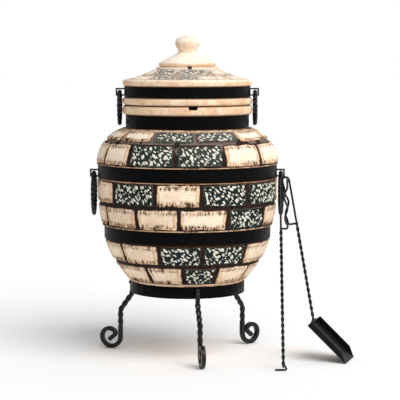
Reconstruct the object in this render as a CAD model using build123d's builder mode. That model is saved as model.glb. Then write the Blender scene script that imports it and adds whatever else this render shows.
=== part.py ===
from build123d import *
import os
from math import cos, radians, sin

os.makedirs("parts", exist_ok=True)

# Clay tandoor on a wrought-iron stand. Millimetres, +Z up. The origin is on the stand's axis at the
# floor, and the front is towards -Y.

# Driving dimensions: clay vessel
FOOT_BOTTOM = 176.0
FOOT_RADIUS = 140.0
SEAT_HEIGHT = 208.0
SEAT_RADIUS = 153.5
BODY_FOOT_RADIUS = 157.5
BELLY_RADIUS = 252.0
BELLY_HEIGHT = 534.0
SHOULDER_TOP = 633.0
RIM_TOP = 696.0
RIM_RADIUS = 180.0
RIM_BOTTOM = 670.0
RIM_ROUND = 5.0
MOUTH_RADIUS = 135.0
ASH_FLOOR = 212.0
ASH_RADIUS = 112.0
LEDGE_HEIGHT = 262.0
LEDGE_RADIUS = 150.0
NOTCH_ANGLE = 5.4
NOTCH_WIDTH = 22.0
NOTCH_DEPTH = 9.0
NOTCH_CHAMFER = 3.0

# Steel hoops: seat radius on the clay, lower edge, upper edge
BAND_THICKNESS = 3.0
LOWER_BAND = (228.5, 329.0, 364.0)
BELLY_BAND = (246.0, 497.0, 533.0)
NECK_BAND = (168.0, 634.0, 669.0)
LID_BAND = (172.0, 718.0, 747.0)
CLAMP_GAP = 12.0
LUG_THICKNESS = 3.0
LUG_REACH = 24.0
CLAMP_BOLT_RADIUS = 2.9
CLAMP_HOLE_RADIUS = 3.2
HEX_RADIUS = 5.8
HEX_HEIGHT = 5.0

# Lid and cap
REST_GAP = 0.3
LID_BOTTOM = RIM_TOP + REST_GAP
LID_BEAD_RADIUS = 180.0
LID_RIM_RADIUS = 179.0
LID_RIM_TOP = 767.0
LID_LIP_BOTTOM = 686.0
LID_LIP_RADII = (118.0, 131.0)
COLLAR_RADIUS = 85.0
COLLAR_TOP = 800.5
FLUE_RADIUS = 44.0
CAP_BOTTOM = COLLAR_TOP + REST_GAP
CAP_RADIUS = 79.0
CAP_RIM = 13.0
CAP_SPIGOT_RADIUS = 42.5
CAP_SPIGOT_BOTTOM = 782.0
KNOB_TOP = 887.0

# Drop rings and their staples
RING_BAR = 6.0
BODY_RING = (260.0, 507.0, 56.5)
LID_RING = (187.6, 731.5, 43.5)
STAPLE_WALL = 4.0
STAPLE_WIDTH = 14.0
STAPLE_PLAY = 0.8

# Stand
STAND_RING_RADIUS = 159.0
STAND_RING_THICKNESS = 5.0
STAND_RING_BOTTOM = 176.0
LEG_BAR = 12.0
LEG_RADIUS = 202.0
LEG_ANGLES = {"leg_front": 10.0, "leg_rear_left": -109.0, "leg_rear_right": 129.0}
LEG_TOP = 205.0
KNEE_TOP = 163.0
KNEE_HEIGHT = 112.0
KNEE_FILLET = 20.0
SCROLL_RADIUS = 28.0
SCROLL_EYE_RADIUS = 22.0
SCROLL_SWEEP = 140.0
SCROLL_TURN_RADIUS = 7.0
SCROLL_TURN = 90.0
SCROLL_TAIL = 22.0
RIVET_RADIUS = 3.0
RIVET_HEIGHT = 192.0

# Fire grate and air port
GRATE_RADIUS = 128.0
GRATE_THICKNESS = 10.0
GRATE_SLOT = 9.0
GRATE_PITCH = 19.0
PORT_HEIGHT = 237.0
PORT_RADIUS = 20.0
PORT_POCKET_RADIUS = 29.0
PORT_POCKET_START = 174.0
PLUG_GAP = 0.4
PLUG_HEAD = 10.0
PLUG_LENGTH = 44.0
PLUG_NECK_RADIUS = 9.0
PLUG_KNOB_RADIUS = 12.0

# Courses of the vessel, from the foot up: lower face, upper face
COURSES = {
    "vessel_foot": (FOOT_BOTTOM, ASH_FLOOR),
    "vessel_ash_lower": (ASH_FLOOR, PORT_HEIGHT),
    "vessel_ash_upper": (PORT_HEIGHT, LEDGE_HEIGHT),
    "vessel_wall": (LEDGE_HEIGHT, BELLY_HEIGHT),
    "vessel_neck": (BELLY_HEIGHT, RIM_TOP),
}

# Poker and scoop: points on the shaft's centre line, and the wire that is folded double
WIRE_RADIUS = 2.6
SHAFT_RADIUS = 4.9
POKER_FOOT = Vector(256.0, -262.0, WIRE_RADIUS)
POKER_TOP = Vector(254.0, -74.0, 501.0)
POKER_SHOULDER = 386.0
POKER_TOE = 22.0
SCOOP_TOP = Vector(278.0, -66.0, 501.0)
SCOOP_SHOULDER = 272.0
HANDLE_BEND = 8.0

# Scoop blade: a tray that rests on its front edge, near corner first
BLADE_CORNER = Vector(428.5, -168.0, 0.0)
BLADE_EDGE = Vector(0.30, 0.954, 0.0)
BLADE_RISE = Vector(-0.696, 0.219, 0.684)
BLADE_WIDTH = 106.0
BLADE_LENGTH = 145.0
BLADE_WALL = 15.0
BLADE_SHEET = 1.8
BLADE_TAPER = 29.0
TANG_SIZE = (32.0, 12.0, 3.0)
BLADE_RIVET_RADIUS = 2.0
BLADE_RIVET_SPACING = 20.0


def radial_plane(angle):
    """Plane whose x runs outwards at this angle from the front, and whose y runs up."""
    outward = Vector(sin(radians(angle)), -cos(radians(angle)), 0)
    return Plane(origin=(0, 0, 0), x_dir=outward, z_dir=outward.cross(Vector(0, 0, 1)))


def save(builder, name):
    """Label a finished piece and write it to its own file."""
    builder.part.label = name
    export_step(builder.part, f"parts/{name}.step")


# Vessel: one revolved wall, with seats for the three hoops
with BuildPart() as vessel:
    with BuildSketch(Plane.XZ):
        with BuildLine():
            Polyline((0, FOOT_BOTTOM), (FOOT_RADIUS, FOOT_BOTTOM), (SEAT_RADIUS, SEAT_HEIGHT),
                     (BODY_FOOT_RADIUS, SEAT_HEIGHT))
            ThreePointArc((BODY_FOOT_RADIUS, SEAT_HEIGHT), (204, 266), (230, 328))
            Polyline((230, 328), (LOWER_BAND[0], 328), (LOWER_BAND[0], 365), (237, 365))
            ThreePointArc((237, 365), (246, 415), (249.5, 496))
            Polyline((249.5, 496), (BELLY_BAND[0], 496), (BELLY_BAND[0], BELLY_HEIGHT),
                     (BELLY_RADIUS, BELLY_HEIGHT))
            ThreePointArc((BELLY_RADIUS, BELLY_HEIGHT), (236.5, 588), (177, SHOULDER_TOP))
            Polyline((177, SHOULDER_TOP), (NECK_BAND[0], SHOULDER_TOP), (NECK_BAND[0], RIM_BOTTOM),
                     (RIM_RADIUS, RIM_BOTTOM), (RIM_RADIUS, RIM_TOP), (MOUTH_RADIUS, RIM_TOP),
                     (MOUTH_RADIUS, 645))
            ThreePointArc((MOUTH_RADIUS, 645), (190, 607), (208, BELLY_HEIGHT))
            ThreePointArc((208, BELLY_HEIGHT), (205, 430), (187, 330))
            Polyline((187, 330), (LEDGE_RADIUS, LEDGE_HEIGHT), (ASH_RADIUS, LEDGE_HEIGHT),
                     (ASH_RADIUS, ASH_FLOOR), (0, ASH_FLOOR), (0, FOOT_BOTTOM))
        make_face()
    revolve(axis=Axis.Z)
    rim_edges = vessel.edges().filter_by(GeomType.CIRCLE).filter_by(
        lambda edge: abs(edge.radius - RIM_RADIUS) < 0.01
    )
    fillet(rim_edges, RIM_ROUND)
    # Notch through the rim
    notch = radial_plane(NOTCH_ANGLE)
    with BuildSketch(Plane(origin=notch.x_dir * 110, x_dir=-notch.z_dir, z_dir=notch.x_dir)):
        with Locations((0, RIM_TOP - NOTCH_DEPTH / 2)):
            Rectangle(NOTCH_WIDTH, NOTCH_DEPTH)
        with Locations((0, RIM_TOP)):
            Trapezoid(NOTCH_WIDTH + 2 * NOTCH_CHAMFER, 2 * NOTCH_CHAMFER, 45, rotation=180)
    extrude(amount=90, mode=Mode.SUBTRACT)
    # Air port at the back, with a pocket for the plug's head
    with BuildSketch(Plane.XZ.offset(-100)):
        with Locations((0, PORT_HEIGHT)):
            Circle(PORT_RADIUS)
    extrude(amount=-100, mode=Mode.SUBTRACT)
    with BuildSketch(Plane.XZ.offset(-PORT_POCKET_START)):
        with Locations((0, PORT_HEIGHT)):
            Circle(PORT_POCKET_RADIUS)
    extrude(amount=-60, mode=Mode.SUBTRACT)

# The vessel is built up in five courses, joined face to face: the foot, a ring on each side of the
# port's middle, the wall up to the belly, and the neck
for course_name, (course_bottom, course_top) in COURSES.items():
    with BuildPart() as course:
        add(vessel.part)
        with BuildSketch(Plane.XY.offset(course_bottom)):
            Circle(BELLY_RADIUS + 10)
        extrude(amount=course_top - course_bottom, mode=Mode.INTERSECT)
    save(course, course_name)


# Hoops: each is split at the back and drawn tight by a bolt through two lugs
def hoop(name, band):
    seat, bottom, top = band
    with BuildPart() as strap:
        with BuildSketch(Plane.XY.offset(bottom)):
            Circle(seat + BAND_THICKNESS)
            with Locations((0, seat + LUG_REACH / 2)):
                Rectangle(CLAMP_GAP + 2 * LUG_THICKNESS, LUG_REACH)
            Circle(seat, mode=Mode.SUBTRACT)
            with Locations((0, seat + LUG_REACH / 2)):
                Rectangle(CLAMP_GAP, 2 * LUG_REACH, mode=Mode.SUBTRACT)
        extrude(amount=top - bottom)
        with BuildSketch(Plane.YZ.offset(-CLAMP_GAP)):
            with Locations((seat + LUG_REACH - 9, (bottom + top) / 2)):
                Circle(CLAMP_HOLE_RADIUS)
        extrude(amount=2 * CLAMP_GAP, mode=Mode.SUBTRACT)
    save(strap, name)


def clamp_bolts(name, bands):
    outer = CLAMP_GAP / 2 + LUG_THICKNESS
    with BuildPart() as bolts:
        for seat, bottom, top in bands:
            centre = (seat + LUG_REACH - 9, (bottom + top) / 2)
            with BuildSketch(Plane.YZ.offset(-outer - HEX_HEIGHT)):
                with Locations(centre):
                    RegularPolygon(HEX_RADIUS, 6)
            extrude(amount=HEX_HEIGHT)
            with BuildSketch(Plane.YZ.offset(-outer - HEX_HEIGHT / 2)):
                with Locations(centre):
                    Circle(CLAMP_BOLT_RADIUS)
            extrude(amount=2 * outer + 2 * HEX_HEIGHT)
            with BuildSketch(Plane.YZ.offset(outer)):
                with Locations(centre):
                    RegularPolygon(HEX_RADIUS, 6)
                    Circle(CLAMP_BOLT_RADIUS + 0.1, mode=Mode.SUBTRACT)
            extrude(amount=HEX_HEIGHT)
    save(bolts, name)


hoop("lower_band", LOWER_BAND)
hoop("belly_band", BELLY_BAND)
hoop("neck_band", NECK_BAND)
hoop("lid_band", LID_BAND)
clamp_bolts("body_band_bolts", [LOWER_BAND, BELLY_BAND, NECK_BAND])
clamp_bolts("lid_band_bolt", [LID_BAND])


# Lid: hollow underneath, with a lip that keeps it centred in the mouth
with BuildPart() as lid_shell:
    with BuildSketch(Plane.XZ):
        with BuildLine():
            Polyline((LID_LIP_RADII[1], LID_BOTTOM), (LID_BEAD_RADIUS, LID_BOTTOM),
                     (LID_BEAD_RADIUS, LID_BAND[1] - 1), (LID_BAND[0], LID_BAND[1] - 1),
                     (LID_BAND[0], LID_BAND[2] + 1), (LID_RIM_RADIUS, LID_BAND[2] + 1),
                     (LID_RIM_RADIUS, LID_RIM_TOP), (168, LID_RIM_TOP))
            ThreePointArc((168, LID_RIM_TOP), (129, 778), (COLLAR_RADIUS, 797))
            Polyline((COLLAR_RADIUS, 797), (COLLAR_RADIUS, COLLAR_TOP), (FLUE_RADIUS, COLLAR_TOP),
                     (FLUE_RADIUS, 770))
            ThreePointArc((FLUE_RADIUS, 770), (95, 745), (LID_LIP_RADII[0], 705))
            Polyline((LID_LIP_RADII[0], 705), (LID_LIP_RADII[0], LID_LIP_BOTTOM),
                     (LID_LIP_RADII[1], LID_LIP_BOTTOM), (LID_LIP_RADII[1], LID_BOTTOM))
        make_face()
    revolve(axis=Axis.Z)
    bead_edges = lid_shell.edges().filter_by(GeomType.CIRCLE).filter_by(
        lambda edge: edge.radius > LID_RIM_RADIUS - 0.01
    )
    fillet(bead_edges, RIM_ROUND)
save(lid_shell, "lid_shell")

# Cap: a shallow dome with a turned knob, and a spigot that fills the flue hole
with BuildPart() as lid_cap:
    with BuildSketch(Plane.XZ):
        with BuildLine():
            Polyline((0, CAP_SPIGOT_BOTTOM), (CAP_SPIGOT_RADIUS, CAP_SPIGOT_BOTTOM),
                     (CAP_SPIGOT_RADIUS, CAP_BOTTOM), (CAP_RADIUS - 4, CAP_BOTTOM))
            ThreePointArc((CAP_RADIUS - 4, CAP_BOTTOM), (CAP_RADIUS, CAP_BOTTOM + CAP_RIM / 2),
                          (CAP_RADIUS - 4, CAP_BOTTOM + CAP_RIM))
            ThreePointArc((CAP_RADIUS - 4, CAP_BOTTOM + CAP_RIM), (50, 827), (27, 838))
            ThreePointArc((27, 838), (24.5, 844), (27.5, 851))
            ThreePointArc((27.5, 851), (33, 868), (20, 883))
            Polyline((20, 883), (8, KNOB_TOP), (0, KNOB_TOP), (0, CAP_SPIGOT_BOTTOM))
        make_face()
    revolve(axis=Axis.Z)
save(lid_cap, "lid_cap")


# Drop rings hang in square staples, which are welded to the hoops
def staple(name, side, ring, band):
    ring_x, ring_top, _ = ring
    face = band[0] + BAND_THICKNESS
    half_eye = RING_BAR + STAPLE_PLAY
    reach = ring_x + half_eye + STAPLE_WALL - face + 4
    with BuildPart() as eye:
        with BuildSketch(Plane.XZ.offset(-STAPLE_WIDTH / 2)):
            with Locations((side * (face - 4 + reach / 2), ring_top)):
                Rectangle(reach, 2 * (half_eye + STAPLE_WALL))
            with Locations((side * (face - 4 + (reach - STAPLE_WALL) / 2), ring_top)):
                Rectangle(reach - STAPLE_WALL, 2 * half_eye, mode=Mode.SUBTRACT)
        extrude(amount=STAPLE_WIDTH)
        with BuildSketch(Plane.XY.offset(ring_top - 20)):
            Circle(face)
        extrude(amount=40, mode=Mode.SUBTRACT)
    save(eye, name)


def drop_ring(name, side, ring):
    ring_x, ring_top, radius = ring
    with BuildPart() as hoop_ring:
        with Locations(Location((side * ring_x, 0, ring_top - radius), (0, 90, 0))):
            Torus(radius, RING_BAR)
    save(hoop_ring, name)


for side_name, side in (("left", -1), ("right", 1)):
    staple(f"body_bracket_{side_name}", side, BODY_RING, BELLY_BAND)
    staple(f"lid_bracket_{side_name}", side, LID_RING, LID_BAND)
    drop_ring(f"body_ring_{side_name}", side, BODY_RING)
    drop_ring(f"lid_ring_{side_name}", side, LID_RING)


# Stand: a flat hoop with three square bars riveted to it, each rolled into a scroll at the floor
def rivet_plane(angle, start):
    outward = radial_plane(angle).x_dir
    return Plane(origin=outward * start + Vector(0, 0, RIVET_HEIGHT), z_dir=outward)


with BuildPart() as stand_ring:
    with BuildSketch(Plane.XY.offset(STAND_RING_BOTTOM)):
        Circle(STAND_RING_RADIUS)
        Circle(STAND_RING_RADIUS - STAND_RING_THICKNESS, mode=Mode.SUBTRACT)
    extrude(amount=SEAT_HEIGHT - STAND_RING_BOTTOM)
    for leg_angle in LEG_ANGLES.values():
        with BuildSketch(rivet_plane(leg_angle, STAND_RING_RADIUS - 12)):
            Circle(RIVET_RADIUS + 0.1)
        extrude(amount=20, mode=Mode.SUBTRACT)
save(stand_ring, "stand_ring")

leg_top_radius = STAND_RING_RADIUS + LEG_BAR / 2
scroll_centre = LEG_RADIUS + SCROLL_RADIUS
scroll_height = SCROLL_RADIUS + LEG_BAR / 2
eye_centre = scroll_centre + SCROLL_RADIUS - SCROLL_EYE_RADIUS
turn_offset = Vector(SCROLL_EYE_RADIUS - SCROLL_TURN_RADIUS, 0).rotate(Axis.Z, SCROLL_SWEEP)
turn_centre = (eye_centre + turn_offset.X, scroll_height + turn_offset.Y)


def leg(name, angle):
    plane = radial_plane(angle)
    with BuildPart() as bar:
        with BuildLine(plane):
            FilletPolyline((leg_top_radius, LEG_TOP), (leg_top_radius, KNEE_TOP), (LEG_RADIUS, KNEE_HEIGHT),
                           (LEG_RADIUS, scroll_height), radius=KNEE_FILLET)
            ThreePointArc((LEG_RADIUS, scroll_height), (scroll_centre, LEG_BAR / 2),
                          (scroll_centre + SCROLL_RADIUS, scroll_height))
            CenterArc((eye_centre, scroll_height), SCROLL_EYE_RADIUS, 0, SCROLL_SWEEP)
            turn = CenterArc(turn_centre, SCROLL_TURN_RADIUS, SCROLL_SWEEP, SCROLL_TURN)
            tail_end = turn @ 1 + (turn % 1) * SCROLL_TAIL
            Line(turn @ 1, tail_end)
        start = plane.from_local_coords(Vector(leg_top_radius, LEG_TOP, 0))
        with BuildSketch(Plane(origin=start, x_dir=plane.x_dir, z_dir=(0, 0, -1))):
            Rectangle(LEG_BAR, LEG_BAR)
        sweep()
        with BuildSketch(rivet_plane(angle, STAND_RING_RADIUS - 4)):
            Circle(RIVET_RADIUS + 0.1)
        extrude(amount=LEG_BAR + 8, mode=Mode.SUBTRACT)
    save(bar, name)


for leg_name, leg_angle in LEG_ANGLES.items():
    leg(leg_name, leg_angle)

with BuildPart() as leg_rivets:
    for leg_angle in LEG_ANGLES.values():
        with BuildSketch(rivet_plane(leg_angle, STAND_RING_RADIUS - STAND_RING_THICKNESS)):
            Circle(RIVET_RADIUS)
        extrude(amount=STAND_RING_THICKNESS + LEG_BAR + 1)
        with BuildSketch(rivet_plane(leg_angle, STAND_RING_RADIUS + LEG_BAR)):
            Circle(2 * RIVET_RADIUS)
        extrude(amount=3.5, taper=25)
save(leg_rivets, "leg_rivets")

# Fire grate: a slotted disc that rests on the ledge over the ash space
with BuildPart() as fire_grate:
    with BuildSketch(Plane.XY.offset(LEDGE_HEIGHT + REST_GAP)):
        Circle(GRATE_RADIUS)
        for row in range(-5, 6):
            slot_y = row * GRATE_PITCH
            half_chord = (GRATE_RADIUS**2 - slot_y**2) ** 0.5 - 14
            for slot_side in (-1, 1):
                with Locations((slot_side * (half_chord + 5) / 2, slot_y)):
                    SlotOverall(half_chord - 5, GRATE_SLOT, mode=Mode.SUBTRACT)
    extrude(amount=GRATE_THICKNESS)
save(fire_grate, "fire_grate")

# Air plug: a clay stopper whose head sits in the pocket round the port
with BuildPart() as air_plug:
    with BuildSketch(Plane.YZ):
        with BuildLine():
            head_start = PORT_POCKET_START + PLUG_GAP
            head_end = head_start + PLUG_HEAD
            body_radius = PORT_RADIUS - PLUG_GAP
            head_radius = PORT_POCKET_RADIUS - 2 * PLUG_GAP
            Polyline((head_start - PLUG_LENGTH, PORT_HEIGHT),
                     (head_start - PLUG_LENGTH, PORT_HEIGHT + body_radius - 2),
                     (head_start, PORT_HEIGHT + body_radius), (head_start, PORT_HEIGHT + head_radius),
                     (head_end, PORT_HEIGHT + head_radius - 2), (head_end, PORT_HEIGHT + PLUG_NECK_RADIUS))
            ThreePointArc((head_end, PORT_HEIGHT + PLUG_NECK_RADIUS),
                          (head_end + 12, PORT_HEIGHT + PLUG_KNOB_RADIUS),
                          (head_end + 20, PORT_HEIGHT + 6))
            Polyline((head_end + 20, PORT_HEIGHT + 6), (head_end + 20, PORT_HEIGHT),
                     (head_start - PLUG_LENGTH, PORT_HEIGHT))
        make_face()
    revolve(axis=Axis((0, 0, PORT_HEIGHT), (0, 1, 0)))
save(air_plug, "air_plug")


# Poker and scoop handle: one wire folded double, twisted into a shaft below a long loop
def tool_plane(foot, top):
    """Plane with its origin at the shaft's foot, x sideways and y up along the shaft."""
    up = (top - foot).normalized()
    normal = Vector(1, 0, 0).cross(up).normalized()
    return Plane(origin=foot, x_dir=up.cross(normal), z_dir=normal)


def shaft(plane, low, high):
    section = Plane(origin=plane.from_local_coords(Vector(0, low, 0)), z_dir=plane.y_dir)
    with BuildPart() as rod:
        with BuildSketch(section):
            Circle(SHAFT_RADIUS)
        extrude(amount=high - low)
    return rod.part


def wire(plane, points, bend):
    with BuildPart() as rod:
        with BuildLine(plane) as route:
            FilletPolyline(*points, radius=bend)
        path = route.wire()
        with BuildSketch(Plane(origin=path @ 0, z_dir=path % 0)):
            Circle(WIRE_RADIUS)
        sweep(path=path)
    return rod.part


poker_plane = tool_plane(POKER_FOOT, POKER_TOP)
poker_top = (POKER_TOP - POKER_FOOT).length
poker_shaft = shaft(poker_plane, 4, POKER_SHOULDER + 3)
poker_loop = wire(poker_plane, [(0, POKER_SHOULDER), (0, poker_top), (21, poker_top), (12, poker_top - 50),
                                (18, POKER_SHOULDER), (3, POKER_SHOULDER)], HANDLE_BEND - 2)
poker_hook = wire(Plane.XZ.offset(-POKER_FOOT.Y), [(POKER_FOOT.X - POKER_TOE, POKER_FOOT.Z),
                                                   (POKER_FOOT.X + 9, POKER_FOOT.Z + 0.5),
                                                   (POKER_FOOT.X + 3, POKER_FOOT.Z + 12)], 3)
with BuildPart() as poker:
    add(poker_shaft)
    add(poker_loop)
    add(poker_hook)
save(poker, "poker")

# Scoop blade: a folded tray, open at the front, with side walls that slope down to the front edge
blade_normal = BLADE_EDGE.cross(BLADE_RISE).normalized()
blade_plane = Plane(origin=BLADE_CORNER, x_dir=BLADE_EDGE, z_dir=blade_normal)
back_mid = blade_plane.from_local_coords(Vector(BLADE_WIDTH / 2, BLADE_LENGTH, BLADE_WALL / 2))
back_plane = Plane(origin=back_mid, x_dir=BLADE_EDGE, z_dir=blade_plane.y_dir)
scoop_joint = back_plane.from_local_coords(Vector(0, 0, TANG_SIZE[2] / 2))

with BuildPart() as scoop_blade:
    with BuildSketch(Plane(origin=BLADE_CORNER, x_dir=blade_plane.y_dir, z_dir=BLADE_EDGE)):
        with BuildLine():
            Polyline((0, 0), (BLADE_LENGTH, 0), (BLADE_LENGTH, BLADE_WALL), (BLADE_TAPER, BLADE_WALL),
                     (2, BLADE_SHEET), (0, BLADE_SHEET), (0, 0))
        make_face()
    extrude(amount=BLADE_WIDTH)
    with BuildSketch(Plane(origin=blade_plane.from_local_coords(Vector(BLADE_SHEET, -10, BLADE_SHEET)),
                           x_dir=BLADE_EDGE, z_dir=blade_normal)):
        Rectangle(BLADE_WIDTH - 2 * BLADE_SHEET, BLADE_LENGTH + 10 - BLADE_SHEET, align=Align.MIN)
    extrude(amount=BLADE_WALL + 5, mode=Mode.SUBTRACT)
    with BuildSketch(back_plane.offset(-5)):
        with GridLocations(BLADE_RIVET_SPACING, 1, 2, 1):
            Circle(BLADE_RIVET_RADIUS + 0.1)
    extrude(amount=10, mode=Mode.SUBTRACT)
save(scoop_blade, "scoop_blade")

scoop_plane = tool_plane(scoop_joint, SCOOP_TOP)
scoop_top = (SCOOP_TOP - scoop_joint).length
scoop_shaft = shaft(scoop_plane, 1, SCOOP_SHOULDER + 3)
scoop_loop = wire(scoop_plane, [(0, SCOOP_SHOULDER), (0, scoop_top), (-20, scoop_top),
                                (-12, scoop_top - 55), (-26, SCOOP_SHOULDER), (-3, SCOOP_SHOULDER)],
                  HANDLE_BEND)
with BuildPart() as scoop_handle:
    add(scoop_shaft)
    add(scoop_loop)
    with BuildSketch(back_plane):
        Rectangle(TANG_SIZE[0], TANG_SIZE[1])
        with GridLocations(BLADE_RIVET_SPACING, 1, 2, 1):
            Circle(BLADE_RIVET_RADIUS + 0.1, mode=Mode.SUBTRACT)
    extrude(amount=TANG_SIZE[2])
save(scoop_handle, "scoop_handle")

with BuildPart() as scoop_rivets:
    with BuildSketch(back_plane.offset(-BLADE_SHEET - 1.2)):
        with GridLocations(BLADE_RIVET_SPACING, 1, 2, 1):
            Circle(2 * BLADE_RIVET_RADIUS)
    extrude(amount=1.2)
    with BuildSketch(back_plane.offset(-BLADE_SHEET - 1)):
        with GridLocations(BLADE_RIVET_SPACING, 1, 2, 1):
            Circle(BLADE_RIVET_RADIUS)
    extrude(amount=BLADE_SHEET + TANG_SIZE[2] + 2)
    with BuildSketch(back_plane.offset(TANG_SIZE[2])):
        with GridLocations(BLADE_RIVET_SPACING, 1, 2, 1):
            Circle(2 * BLADE_RIVET_RADIUS)
    extrude(amount=1.5, taper=20)
save(scoop_rivets, "scoop_rivets")
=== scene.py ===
import itertools
import math
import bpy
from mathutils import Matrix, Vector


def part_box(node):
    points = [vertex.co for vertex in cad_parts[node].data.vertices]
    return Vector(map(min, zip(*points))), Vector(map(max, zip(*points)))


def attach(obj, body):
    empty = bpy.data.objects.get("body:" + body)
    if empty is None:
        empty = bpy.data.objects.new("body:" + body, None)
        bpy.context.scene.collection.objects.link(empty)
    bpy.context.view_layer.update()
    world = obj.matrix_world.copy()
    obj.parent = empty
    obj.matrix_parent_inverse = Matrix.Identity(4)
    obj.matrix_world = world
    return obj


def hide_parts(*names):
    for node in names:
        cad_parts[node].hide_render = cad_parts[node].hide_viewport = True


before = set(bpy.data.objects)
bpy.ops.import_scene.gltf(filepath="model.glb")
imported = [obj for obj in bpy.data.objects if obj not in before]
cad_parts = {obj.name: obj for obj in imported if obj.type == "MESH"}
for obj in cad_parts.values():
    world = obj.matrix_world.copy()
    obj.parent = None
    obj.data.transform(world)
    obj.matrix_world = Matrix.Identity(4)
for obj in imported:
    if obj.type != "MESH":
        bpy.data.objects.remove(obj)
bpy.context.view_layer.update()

from types import SimpleNamespace

import bpy
import numpy as np
from mathutils import Vector

# A clay tandoor with hand-painted tiles on a wrought-iron stand. Lengths of its parts are in
# millimetres in the CAD frame, and meshes are written in metres. Weld, bevel, floor and camera
# lengths are in metres. Angles round the axis start at the front (-Y) and grow towards +X.
MM = 0.001


# ------------------------------ noise
def hashed(cells, seed):
    """A number from 0 to 1 for each whole-number cell."""
    mixed = np.int64(seed * 7919 + 11)
    for values, prime in zip(cells, (73856093, 19349663, 83492791)):
        mixed = mixed + values * prime
    mixed = (mixed ^ (mixed >> 13)) & 0x7FFFFFFF
    mixed = (mixed * 1103515245 + 12345) & 0x7FFFFFFF
    mixed = (mixed ^ (mixed >> 15)) & 0xFFFFFF
    mixed = (mixed * 69069 + 1) & 0xFFFFFF
    return mixed / float(0xFFFFFF)


def noise(coords, size, seed):
    """Smooth noise from 0 to 1, with blobs about size across."""
    scaled = [c / size for c in coords]
    whole = [np.floor(c).astype(np.int64) for c in scaled]
    part = [c - w for c, w in zip(scaled, whole)]
    part = [p * p * (3 - 2 * p) for p in part]
    total = 0.0
    for corner in itertools.product((0, 1), repeat=len(coords)):
        weight = 1.0
        for p, c in zip(part, corner):
            weight = weight * (p if c else 1 - p)
        total = total + weight * hashed([w + c for w, c in zip(whole, corner)], seed)
    return total


def fractal(coords, size, seed, octaves=4):
    """Noise from 0 to 1 with finer and finer detail."""
    total, weight, norm = 0.0, 1.0, 0.0
    for octave in range(octaves):
        total = total + weight * noise(coords, size / 2 ** octave, seed + octave)
        norm += weight
        weight *= 0.5
    return total / norm


def ease(x):
    """A soft step from 0 to 1."""
    x = np.clip(x, 0.0, 1.0)
    return x * x * (3 - 2 * x)


def knob_field(u, v, seed):
    """Distance, in cell sizes, to the nearest hammered knob. The knobs lean down to the right."""
    lean = math.radians(-44)
    shift_u = 7.0 * (noise([u, v], 13, seed + 5) - 0.5)
    shift_v = 9.0 * (noise([u, v], 13, seed + 6) - 0.5)
    u, v = u + shift_u, v + shift_v
    p = (u * math.cos(lean) + v * math.sin(lean)) / KNOB_LENGTH
    q = (-u * math.sin(lean) + v * math.cos(lean)) / KNOB_WIDTH
    cell_p, cell_q = np.floor(p).astype(np.int64), np.floor(q).astype(np.int64)
    best = np.full(p.shape, 9.0)
    for dp, dq in itertools.product((-1, 0, 1), repeat=2):
        cell = [cell_p + dp, cell_q + dq]
        at_p = cell[0] + 0.5 + 0.62 * (hashed(cell, seed) - 0.5)
        at_q = cell[1] + 0.5 + 0.62 * (hashed(cell, seed + 1) - 0.5)
        size = 0.60 + 0.60 * hashed(cell, seed + 2)
        best = np.minimum(best, np.hypot(p - at_p, q - at_q) / size)
    return best


def srgb(r, g, b):
    """A linear colour from 0-255 display values."""
    c = np.array([r, g, b], float) / 255
    return np.where(c <= 0.04045, c / 12.92, ((c + 0.055) / 1.055) ** 2.4)


def blend_colour(under, over, mask):
    """Colours under and over, mixed point by point."""
    return under * (1 - mask[..., None]) + over * mask[..., None]


# ------------------------------ colours and tile sizes
CREAM = srgb(252, 233, 208)
BISQUE = srgb(236, 202, 166)
PEACH = srgb(232, 194, 158)
CHALK_AND_HIGHLIGHT = srgb(255, 248, 234)
OCHRE = srgb(196, 140, 96)
RUST = srgb(158, 84, 50)
UMBER = srgb(68, 37, 21)
GROUT = srgb(38, 23, 17)
LID_GROUT = srgb(176, 150, 126)
GLAZE = srgb(8, 44, 39)
GLAZE_DARK = srgb(3, 8, 8)
GLAZE_GREY = srgb(88, 94, 88)
KNOB_CREAM = srgb(238, 234, 218)
ASH = srgb(112, 101, 93)
SOOT = srgb(62, 46, 38)

KNOB_LENGTH = 15.5
KNOB_WIDTH = 6.6
KNOB_EDGE = 0.34
TILE_CORNER = 5.0
JOINT_WIDTH = 9.0
GROUT_DEPTH = 4.6
TILE_BEVEL = 3.4
FRAME_WIDTH = 9.5
NARROW_FRAME_WIDTH = 4.0
NARROW_ROW = 36.0
PANEL_DEPTH = 1.3
PANEL_SLOPE = 3.0
GROUND_DEPTH = 3.2
NICK_PITCH = 8.5
BACK_SPACING = 31.0
NEIGHBOUR_GAP = 14.0
STRIP_GROUT = 2.6
ROW_MARGIN = 6.0

# Tile rows: height of the lower and upper edge, joint angles seen from the front in degrees, and
# for the tiles left of, between and right of those joints whether each is hammered and glazed
BODY_ROWS = (
    (215, 262, (-70, -34, -3, 25, 58), (0, 0, 0, 1, 0, 0)),
    (270, 325, (-52, -20, 11, 45, 86), (0, 0, 1, 1, 0, 0)),
    (369, 424, (-64, -34, -5, 27, 59), (0, 0, 0, 0, 1, 0)),
    (432, 492, (-53, -20, 9, 41, 77), (0, 1, 0, 1, 1, 0)),
    (538, 596, (-64, -39, -7, 24, 53), (0, 0, 1, 1, 0, 0)),
    (604, 629, (-54, -25, 6, 39, 72), (0, 0, 1, 1, 0, 0)),
)
# Lid rows: outer and inner radius in place of the heights
LID_ROWS = (
    (166, 130, (-78, -41, 10, 48, 84), (0, 0, 1, 0, 0, 0)),
    (126, 89, (-57, -15, 37, 72), (0, 1, 1, 0, 0)),
)


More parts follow.
